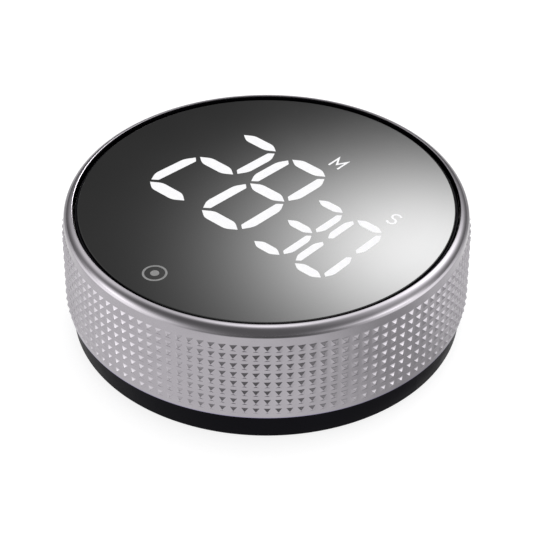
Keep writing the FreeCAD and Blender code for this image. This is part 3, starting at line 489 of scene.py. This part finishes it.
def build_marks(lit, printed):
    """Unit marks for minutes and seconds, and the touch mark: a dot in a circle."""
    marks = (("unit_mark_minutes", letter_m(MINUTES_MARK, MINUTES_MARK_SIZE)),
             ("unit_mark_seconds", letter_s(SECONDS_MARK, SECONDS_MARK_SIZE)))
    for name, route in marks:
        piece = lit_plate(name, [stroke_outline(route, MARK_STROKE_HALF)], lit)

    points = []
    faces = []
    count = 64
    section = [(TOUCH_OUTER, 0), (TOUCH_INNER, 0)]
    section += [(TOUCH_INNER, LIT_HEIGHT), (TOUCH_OUTER, LIT_HEIGHT)]
    for radius, z in section:
        points += [(x, y, PANEL_TOP + z) for x, y in circle_outline(TOUCH_CENTRE, radius, count)]
    for band in range(4):
        first = band * count
        other = (band + 1) % 4 * count
        for n in range(count):
            after = (n + 1) % count
            faces.append([first + n, first + after, other + after, other + n])
    circle = mesh_object("touch_mark_circle", points, faces, smooth=False)
    circle.data.materials.append(printed)
    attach(circle, "base")
    dot = lit_plate("touch_mark_dot", [circle_outline(TOUCH_CENTRE, TOUCH_DOT, 48)], printed)


# ---- camera, floor and light ------------------------------------------------

CAMERA_AZIMUTH = math.radians(42.2)
CAMERA_ELEVATION = math.radians(37.76)
CAMERA_DISTANCE = 0.38325
CAMERA_TARGET = Vector((0, 0, 0.01016))
CAMERA_LENS = 133.3
CAMERA_SENSOR = 36
FLOOR_HALF = 3.0
FLOOR_DROP = 0.00002


def towards(azimuth, elevation):
    """Direction from the timer to a place at this azimuth from the front (-Y) and elevation."""
    level = math.cos(elevation)
    return Vector((math.sin(azimuth) * level, -math.cos(azimuth) * level, math.sin(elevation)))


def aim(item, place, target):
    item.location = place
    item.rotation_euler = (target - place).to_track_quat("-Z", "Y").to_euler()


def camera_place():
    return CAMERA_TARGET + CAMERA_DISTANCE * towards(CAMERA_AZIMUTH, CAMERA_ELEVATION)


def set_camera():
    data = bpy.data.cameras.new("Camera")
    data.lens = CAMERA_LENS
    data.sensor_width = CAMERA_SENSOR
    data.clip_start = 0.01
    camera = bpy.data.objects.new("Camera", data)
    bpy.context.scene.collection.objects.link(camera)
    aim(camera, camera_place(), CAMERA_TARGET)
    bpy.context.scene.camera = camera


def tree_maths(tree, operation, first, second):
    """A maths node over two values, each a number or another node's output."""
    node = tree.nodes.new("ShaderNodeMath")
    node.operation = operation
    for index, value in enumerate((first, second)):
        if isinstance(value, (int, float)):
            node.inputs[index].default_value = value
        else:
            tree.links.new(value, node.inputs[index])
    return node.outputs["Value"]


def emission_material(name):
    """A material with only an emission shader. Returns its tree and that shader."""
    made = bpy.data.materials.new(name)
    made.use_nodes = True
    tree = made.node_tree
    tree.nodes.clear()
    shader = tree.nodes.new("ShaderNodeEmission")
    out = tree.nodes.new("ShaderNodeOutputMaterial")
    tree.links.new(shader.outputs[0], out.inputs["Surface"])
    return made, tree, shader


def square_mesh(name, half, z):
    """A level square about the origin, in metres."""
    mesh = bpy.data.meshes.new(name)
    corners = [(-half, -half, z), (half, -half, z), (half, half, z), (-half, half, z)]
    mesh.from_pydata(corners, [], [(0, 1, 2, 3)])
    return mesh


def build_floor():
    """Plain pale floor. It gives some light of its own, so that the timer's shadow stays faint."""
    mesh = square_mesh("floor", FLOOR_HALF, -FLOOR_DROP)
    floor = new_object("floor", mesh)
    made = bpy.data.materials.new("floor_pale")
    made.use_nodes = True
    shader = made.node_tree.nodes["Principled BSDF"]
    shader.inputs["Base Color"].default_value = (0.35, 0.35, 0.35, 1)
    shader.inputs["Emission Color"].default_value = (1, 1, 1, 1)
    shader.inputs["Emission Strength"].default_value = 0.84
    shader.inputs["Roughness"].default_value = 0.8
    shader.inputs["Specular IOR Level"].default_value = 0.0
    mesh.materials.append(made)


# The floor in reflections, with its light and shade painted on a card: its tone near the timer and
# far from it, and glows on top, each as azimuth from the camera's side and spread in degrees, and
# brightness. A dim stretch is below 0; the one near the timer is painted shade.
NEAR_TONE = 0.8
# painted shade: the floor near the timer, dimmed at the right of the front as reflections see it
NEAR_PAINTED_SHADE = ((50, 25, -0.4),)
NEAR_END = 0.078
FAR_TONE = 0.1
FAR_GLOWS = ((-75, 35, 1.6), (75, 32, 1.5), (180, 35, 1.1))
FAR_START = 0.095
BRIGHTEST = 2.0
CARD_INNER = 0.0385
CARD_OUTER = 2.9
CARD_LIFT = 0.0004


def tone_round(azimuth, tone, glows):
    """The tone at an azimuth, with each glow added."""
    for middle, spread, brightness in glows:
        away = abs((azimuth - middle + 180) % 360 - 180)
        tone += brightness * math.exp(-((away / spread) ** 2))
    return tone


def tone_ramp(tree, turn, tone, glows):
    """Grey ramp all round the timer, as a share of BRIGHTEST."""
    ramp = tree.nodes.new("ShaderNodeValToRGB")
    elements = ramp.color_ramp.elements
    azimuths = range(-180, 181, 15)
    while len(elements) < len(azimuths):
        elements.new(0.5)
    for element, azimuth in zip(elements, azimuths):
        grey = tone_round(azimuth, tone, glows) / BRIGHTEST
        element.position = (azimuth + 180) / 360
        element.color = (grey, grey, grey, 1)
    tree.links.new(turn, ramp.inputs["Fac"])
    return ramp.outputs["Color"]


def floor_card(name):
    """Card on the floor that only reflections see, with the floor's light and shade painted on it.
    Its tone changes outwards and all round.
    """
    steps = 96
    points = []
    faces = []
    for radius in (CARD_INNER, CARD_OUTER):
        for step in range(steps):
            level = radius * towards(2 * math.pi * step / steps, 0)
            points.append(level + Vector((0, 0, CARD_LIFT)))
    for n in range(steps):
        after = (n + 1) % steps
        faces.append((n, after, steps + after, steps + n))
    mesh = bpy.data.meshes.new(name)
    mesh.from_pydata(points, [], faces)
    card = new_object(name, mesh)
    card.rotation_euler = (0, 0, CAMERA_AZIMUTH - math.radians(90))
    made, tree, shader = emission_material(name)
    coordinates = tree.nodes.new("ShaderNodeTexCoord")
    turn = tree.nodes.new("ShaderNodeTexGradient")
    turn.gradient_type = "RADIAL"
    tree.links.new(coordinates.outputs["Object"], turn.inputs["Vector"])
    length = tree.nodes.new("ShaderNodeVectorMath")
    length.operation = "LENGTH"
    tree.links.new(coordinates.outputs["Object"], length.inputs[0])
    reach = tree.nodes.new("ShaderNodeMapRange")
    reach.inputs["From Min"].default_value = NEAR_END
    reach.inputs["From Max"].default_value = FAR_START
    tree.links.new(length.outputs["Value"], reach.inputs["Value"])
    near = tone_ramp(tree, turn.outputs["Fac"], NEAR_TONE, NEAR_PAINTED_SHADE)
    far = tone_ramp(tree, turn.outputs["Fac"], FAR_TONE, FAR_GLOWS)
    mix = tree.nodes.new("ShaderNodeMix")
    mix.data_type = "RGBA"
    tree.links.new(reach.outputs["Result"], mix.inputs["Factor"])
    tree.links.new(near, mix.inputs[6])
    tree.links.new(far, mix.inputs[7])
    tree.links.new(mix.outputs[2], shader.inputs["Color"])
    shader.inputs["Strength"].default_value = BRIGHTEST
    mesh.materials.append(made)
    only_in_reflections(card)


def only_in_reflections(card):
    """Hide a card from all but glossy rays. It is part of the stage."""
    card.visible_camera = False
    card.visible_diffuse = False
    card.visible_shadow = False
    card.visible_transmission = False


# Softboxes of the studio: azimuth from the camera's side, elevation and spread in degrees, and
# brightness.
SOFTBOXES = (
    (-85, 5, 18, 1.7),
    (-60, -5, 25, 0.9),
    (70, 0, 18, 1.9),
    (45, 0, 20, 0.5),
    (95, 45, 30, 0.45),
    (135, 45, 18, 2.2),
    (180, 80, 16, 1.5),
    (-140, 45, 20, 0.9),
)
STUDIO_DIM = 0.15


def build_world():
    """Dim studio with softboxes at both sides, behind and overhead. The camera sees plain white."""
    world = bpy.data.worlds.new("studio")
    bpy.context.scene.world = world
    world.use_nodes = True
    tree = world.node_tree
    tree.nodes.clear()

    coordinates = tree.nodes.new("ShaderNodeTexCoord")
    total = STUDIO_DIM
    for azimuth, elevation, spread, brightness in SOFTBOXES:
        aligned = tree.nodes.new("ShaderNodeVectorMath")
        aligned.operation = "DOT_PRODUCT"
        middle = towards(CAMERA_AZIMUTH + math.radians(azimuth), math.radians(elevation))
        aligned.inputs[1].default_value = middle
        tree.links.new(coordinates.outputs["Generated"], aligned.inputs[0])
        off = tree_maths(tree, "SUBTRACT", 1.0, aligned.outputs["Value"])
        steepness = math.exp(-1 / (1 - math.cos(math.radians(spread))))
        fade = tree_maths(tree, "POWER", steepness, off)
        lit = tree_maths(tree, "MULTIPLY", fade, brightness)
        total = tree_maths(tree, "ADD", total, lit)
    studio = tree.nodes.new("ShaderNodeBackground")
    tree.links.new(total, studio.inputs["Strength"])
    studio.inputs["Color"].default_value = (1, 1, 1, 1)
    white = tree.nodes.new("ShaderNodeBackground")
    white.inputs["Color"].default_value = (1, 1, 1, 1)
    rays = tree.nodes.new("ShaderNodeLightPath")
    choose = tree.nodes.new("ShaderNodeMixShader")
    tree.links.new(rays.outputs["Is Camera Ray"], choose.inputs["Fac"])
    tree.links.new(studio.outputs[0], choose.inputs[1])
    tree.links.new(white.outputs[0], choose.inputs[2])
    out = tree.nodes.new("ShaderNodeOutputWorld")
    tree.links.new(choose.outputs[0], out.inputs["Surface"])


def glow_card(name, place, size, strength, spread):
    """A card that only reflections see, brightest at its middle and fading out evenly."""
    mesh = square_mesh(name, size / 2, 0)
    card = new_object(name, mesh)
    card.location = place
    made, tree, shader = emission_material(name)
    coordinates = tree.nodes.new("ShaderNodeTexCoord")
    length = tree.nodes.new("ShaderNodeVectorMath")
    length.operation = "LENGTH"
    tree.links.new(coordinates.outputs["Object"], length.inputs[0])
    share = tree_maths(tree, "DIVIDE", length.outputs["Value"], spread)
    decay = tree_maths(tree, "POWER", math.exp(-1), tree_maths(tree, "POWER", share, 2.0))
    gain = tree_maths(tree, "MULTIPLY", decay, strength)
    tree.links.new(gain, shader.inputs["Strength"])
    through = tree.nodes.new("ShaderNodeBsdfTransparent")
    both = tree.nodes.new("ShaderNodeAddShader")
    tree.links.new(shader.outputs[0], both.inputs[0])
    tree.links.new(through.outputs[0], both.inputs[1])
    out = next(node for node in tree.nodes if node.type == "OUTPUT_MATERIAL")
    tree.links.new(both.outputs[0], out.inputs["Surface"])
    mesh.materials.append(made)
    only_in_reflections(card)


def seen_on_panel(x, y, height):
    """Where a card at this height has to be so that the panel mirrors it at (x, y), in metres."""
    eye = camera_place()
    panel_z = PANEL_TOP * MM
    mirrored = Vector((eye.x, eye.y, 2 * panel_z - eye.z))
    spot = Vector((x, y, panel_z))
    return mirrored + (spot - mirrored) * (height - mirrored.z) / (panel_z - mirrored.z)


LAMP_AZIMUTH = math.radians(222)
LAMP_ELEVATION = math.radians(78)
LAMP_DISTANCE = 0.9
LAMP_SIZE = 0.6
LAMP_POWER = 2.5
GLOW_AT = (0.0315, 0.0075)
GLOW_HEIGHT = 0.6
GLOW_SIZE = 1.2
GLOW_STRENGTH = 12.4
GLOW_SPREAD = 0.097


def build_lights():
    """Soft overhead lamp, and the cards that the panel and the ring reflect."""
    data = bpy.data.lights.new("overhead", "AREA")
    data.shape = "DISK"
    data.size = LAMP_SIZE
    data.energy = LAMP_POWER
    lamp = bpy.data.objects.new("overhead", data)
    bpy.context.scene.collection.objects.link(lamp)
    place = CAMERA_TARGET + LAMP_DISTANCE * towards(LAMP_AZIMUTH, LAMP_ELEVATION)
    aim(lamp, place, CAMERA_TARGET)
    lamp.visible_camera = False
    lamp.visible_glossy = False
    glow_place = seen_on_panel(*GLOW_AT, GLOW_HEIGHT)
    glow_card("panel_glow", glow_place, GLOW_SIZE, GLOW_STRENGTH, GLOW_SPREAD)
    floor_card("floor_reflection")


# ---- materials --------------------------------------------------------------

class Nodes:
    """A material's node tree, with short ways to add the nodes used here."""

    def __init__(self, name):
        self.material = bpy.data.materials.new(name)
        self.material.use_nodes = True
        self.tree = self.material.node_tree
        self.shader = self.tree.nodes["Principled BSDF"]

    def add(self, kind, **settings):
        node = self.tree.nodes.new(kind)
        for name, value in settings.items():
            setattr(node, name, value)
        return node

    def link(self, source, target):
        self.tree.links.new(source, target)

    def place(self):
        """Object coordinates, in metres."""
        return self.add("ShaderNodeTexCoord").outputs["Object"]

    def noise(self, scale, detail=2.0, vector=None, roughness=0.5):
        node = self.add("ShaderNodeTexNoise")
        node.inputs["Scale"].default_value = scale
        node.inputs["Detail"].default_value = detail
        node.inputs["Roughness"].default_value = roughness
        self.link(vector or self.place(), node.inputs["Vector"])
        return node.outputs["Fac"]

    def ramp(self, factor, stops):
        """Colour ramp from (position, colour) stops; a plain number is a grey."""
        node = self.add("ShaderNodeValToRGB")
        elements = node.color_ramp.elements
        while len(elements) < len(stops):
            elements.new(0.5)
        for element, (position, colour) in zip(elements, stops):
            if isinstance(colour, (int, float)):
                colour = (colour, colour, colour)
            element.position = position
            element.color = (*colour, 1)
        self.link(factor, node.inputs["Fac"])
        return node.outputs["Color"]

    def spread(self, value, low, high, to_low, to_high):
        """Map a value from low..high to to_low..to_high."""
        node = self.add("ShaderNodeMapRange")
        ends = {"From Min": low, "From Max": high, "To Min": to_low, "To Max": to_high}
        for name, number in ends.items():
            node.inputs[name].default_value = number
        self.link(value, node.inputs["Value"])
        return node.outputs["Result"]

    def mix(self, factor, first, second):
        node = self.add("ShaderNodeMix", data_type="RGBA")
        self.link(factor, node.inputs["Factor"])
        for index, colour in ((6, first), (7, second)):
            if isinstance(colour, tuple):
                node.inputs[index].default_value = (*colour, 1)
            else:
                self.link(colour, node.inputs[index])
        return node.outputs[2]

    def bump(self, height, distance, strength=1.0):
        node = self.add("ShaderNodeBump")
        node.inputs["Strength"].default_value = strength
        node.inputs["Distance"].default_value = distance
        self.link(height, node.inputs["Height"])
        self.link(node.outputs["Normal"], self.shader.inputs["Normal"])

    def base(self, colour):
        self.link(colour, self.shader.inputs["Base Color"])

    def rough(self, value):
        self.link(value, self.shader.inputs["Roughness"])


def mottled(made, factor, colour, amount):
    """A colour that varies by this share to both sides, following the factor."""
    dark = tuple(channel * (1 - amount) for channel in colour)
    light = tuple(channel * (1 + amount) for channel in colour)
    return made.ramp(factor, [(0.3, dark), (0.7, light)])


def plastic(name, colour, roughness, grain=0.25, depth=0.006, mottle=0.12, gloss=0.5):
    """Moulded plastic with a fine grain. grain and depth in mm."""
    made = Nodes(name)
    made.shader.inputs["Specular IOR Level"].default_value = gloss
    made.base(mottled(made, made.noise(90, 3), colour, mottle))
    made.rough(made.spread(made.noise(260, 2), 0.3, 0.7, roughness - 0.05, roughness + 0.05))
    made.bump(made.noise(1 / (grain * MM), 2), depth * MM)
    return made.material


def metal(name, colour, roughness, scale=400, mottle=0.06):
    """Plated or bare metal with small changes of tone and gloss."""
    made = Nodes(name)
    made.shader.inputs["Metallic"].default_value = 1.0
    made.base(mottled(made, made.noise(scale, 3), colour, mottle))
    finer = made.noise(scale * 2.3, 2)
    made.rough(made.spread(finer, 0.3, 0.7, roughness - 0.04, roughness + 0.06))
    made.bump(made.noise(scale * 8, 2), 0.002 * MM)
    return made.material


def ring_metal():
    """Plated ring: satin knurl and band, polished rim, and a violet tint at the lower chamfer."""
    made = Nodes("ring_metal")
    made.shader.inputs["Metallic"].default_value = 1.0
    split = made.add("ShaderNodeSeparateXYZ")
    made.link(made.place(), split.inputs["Vector"])
    height = split.outputs["Z"]
    rim_low = (RING_CREST - RIM_ROUND) * MM
    polished = made.spread(height, rim_low - 0.1 * MM, rim_low + 0.1 * MM, 0, 1)
    tint = made.spread(height, (RING_LOW + 0.1) * MM, (RING_LOW + 0.45) * MM, 1, 0)
    silver = [(0.3, (0.485, 0.46, 0.495)), (0.7, (0.53, 0.505, 0.54))]
    clouds = made.ramp(made.noise(160, 3), silver)
    made.base(made.mix(tint, clouds, (0.24, 0.20, 0.50)))
    satin = made.spread(made.noise(420, 2), 0.3, 0.7, 0.12, 0.18)
    gloss = made.add("ShaderNodeMix", data_type="FLOAT")
    made.link(polished, gloss.inputs["Factor"])
    made.link(satin, gloss.inputs["A"])
    gloss.inputs["B"].default_value = 0.13
    made.rough(gloss.outputs["Result"])
    made.bump(made.noise(5200, 2), 0.0022 * MM, 0.6)
    return made.material


def smoked_panel():
    """Black gloss with faint smears."""
    made = Nodes("smoked_panel")
    made.shader.inputs["IOR"].default_value = 1.52
    made.base(made.ramp(made.noise(40, 3), [(0.3, 0.004), (0.7, 0.0065)]))
    made.rough(made.spread(made.noise(70, 4, roughness=0.6), 0.35, 0.75, 0.03, 0.07))
    return made.material


def lit_white(name, strength):
    """Light shining through the windows of the mask, slightly uneven."""
    made = Nodes(name)
    made.shader.inputs["Base Color"].default_value = (0.1, 0.1, 0.1, 1)
    made.shader.inputs["Emission Strength"].default_value = strength
    clouds = made.ramp(made.noise(900, 2), [(0.3, (0.95, 0.95, 0.98)), (0.7, (1.0, 1.0, 1.0))])
    made.link(clouds, made.shader.inputs["Emission Color"])
    return made.material


def touch_grey():
    """Grey print of the touch mark, faintly lit from behind."""
    made = Nodes("touch_grey")
    made.base(made.ramp(made.noise(900, 2), [(0.3, 0.05), (0.7, 0.07)]))
    made.shader.inputs["Emission Strength"].default_value = 1.0
    clouds = made.ramp(made.noise(700, 2), [(0.3, 0.16), (0.7, 0.2)])
    made.link(clouds, made.shader.inputs["Emission Color"])
    made.shader.inputs["Roughness"].default_value = 0.4
    return made.material


SLOT_MATERIALS = {
    "ring_metal": ring_metal(),
    "black_abs": plastic("black_abs", (0.0026, 0.0023, 0.0046), 0.40, gloss=0.05),
    "smoked_panel": smoked_panel(),
    "gear_pom": plastic("gear_pom", (0.78, 0.77, 0.72), 0.35, mottle=0.03),
    "black_rubber": plastic("black_rubber", (0.018, 0.018, 0.018), 0.75, grain=0.15, depth=0.02),
    "magnet_nickel": metal("magnet_nickel", (0.62, 0.62, 0.60), 0.18),
    "screw_steel": metal("screw_steel", (0.48, 0.48, 0.48), 0.3),
    "white_plastic": plastic("white_plastic", (0.82, 0.82, 0.81), 0.4, mottle=0.03),
    "film_black": plastic("film_black", (0.008, 0.008, 0.008), 0.6),
    "film_white": plastic("film_white", (0.85, 0.85, 0.85), 0.6, mottle=0.02),
    "tape_black": plastic("tape_black", (0.02, 0.02, 0.02), 0.7, grain=0.4),
    "circuit_board": plastic("circuit_board", (0.012, 0.12, 0.05), 0.25, grain=1.2, mottle=0.25),
    "chip_black": plastic("chip_black", (0.02, 0.02, 0.022), 0.55),
    "led_white": plastic("led_white", (0.85, 0.82, 0.65), 0.2, mottle=0.05),
    "nickel_plate": metal("nickel_plate", (0.66, 0.65, 0.62), 0.22),
    "can_metal": metal("can_metal", (0.70, 0.70, 0.70), 0.2),
    "cell_wrap": metal("cell_wrap", (0.16, 0.17, 0.19), 0.3),
    "foam_grey": plastic("foam_grey", (0.09, 0.09, 0.10), 0.9, grain=0.5, depth=0.08, mottle=0.3),
    "wire_red": plastic("wire_red", (0.42, 0.02, 0.015), 0.35),
    "wire_black": plastic("wire_black", (0.015, 0.015, 0.015), 0.35),
}


def finish_cad_nodes():
    """Give every CAD node the material of its slot."""
    for part in frame["record"]["subparts"]:
        node = frame["nodes"][part["node"]]
        material = SLOT_MATERIALS[part["material_slot"]]
        if not node.material_slots:
            node.data.materials.append(material)
        for place in node.material_slots:
            place.material = material


# ---- the scene --------------------------------------------------------------

set_camera()
finish_cad_nodes()
ring = build_ring()
ring.data.materials.append(SLOT_MATERIALS["ring_metal"])
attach(ring, "knob")
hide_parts("knurled_ring")
panel = build_panel()
panel.data.materials.append(SLOT_MATERIALS["smoked_panel"])
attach(panel, "base")
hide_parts("front_panel")
base_edge = build_base_edge()
base_edge.data.materials.append(SLOT_MATERIALS["black_abs"])
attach(base_edge, "base")
build_digits(lit_white("lit_white", 0.86))
build_marks(lit_white("lit_marks", 0.9), touch_grey())
build_floor()
build_world()
build_lights()
bpy.context.scene.view_settings.view_transform = "Standard"
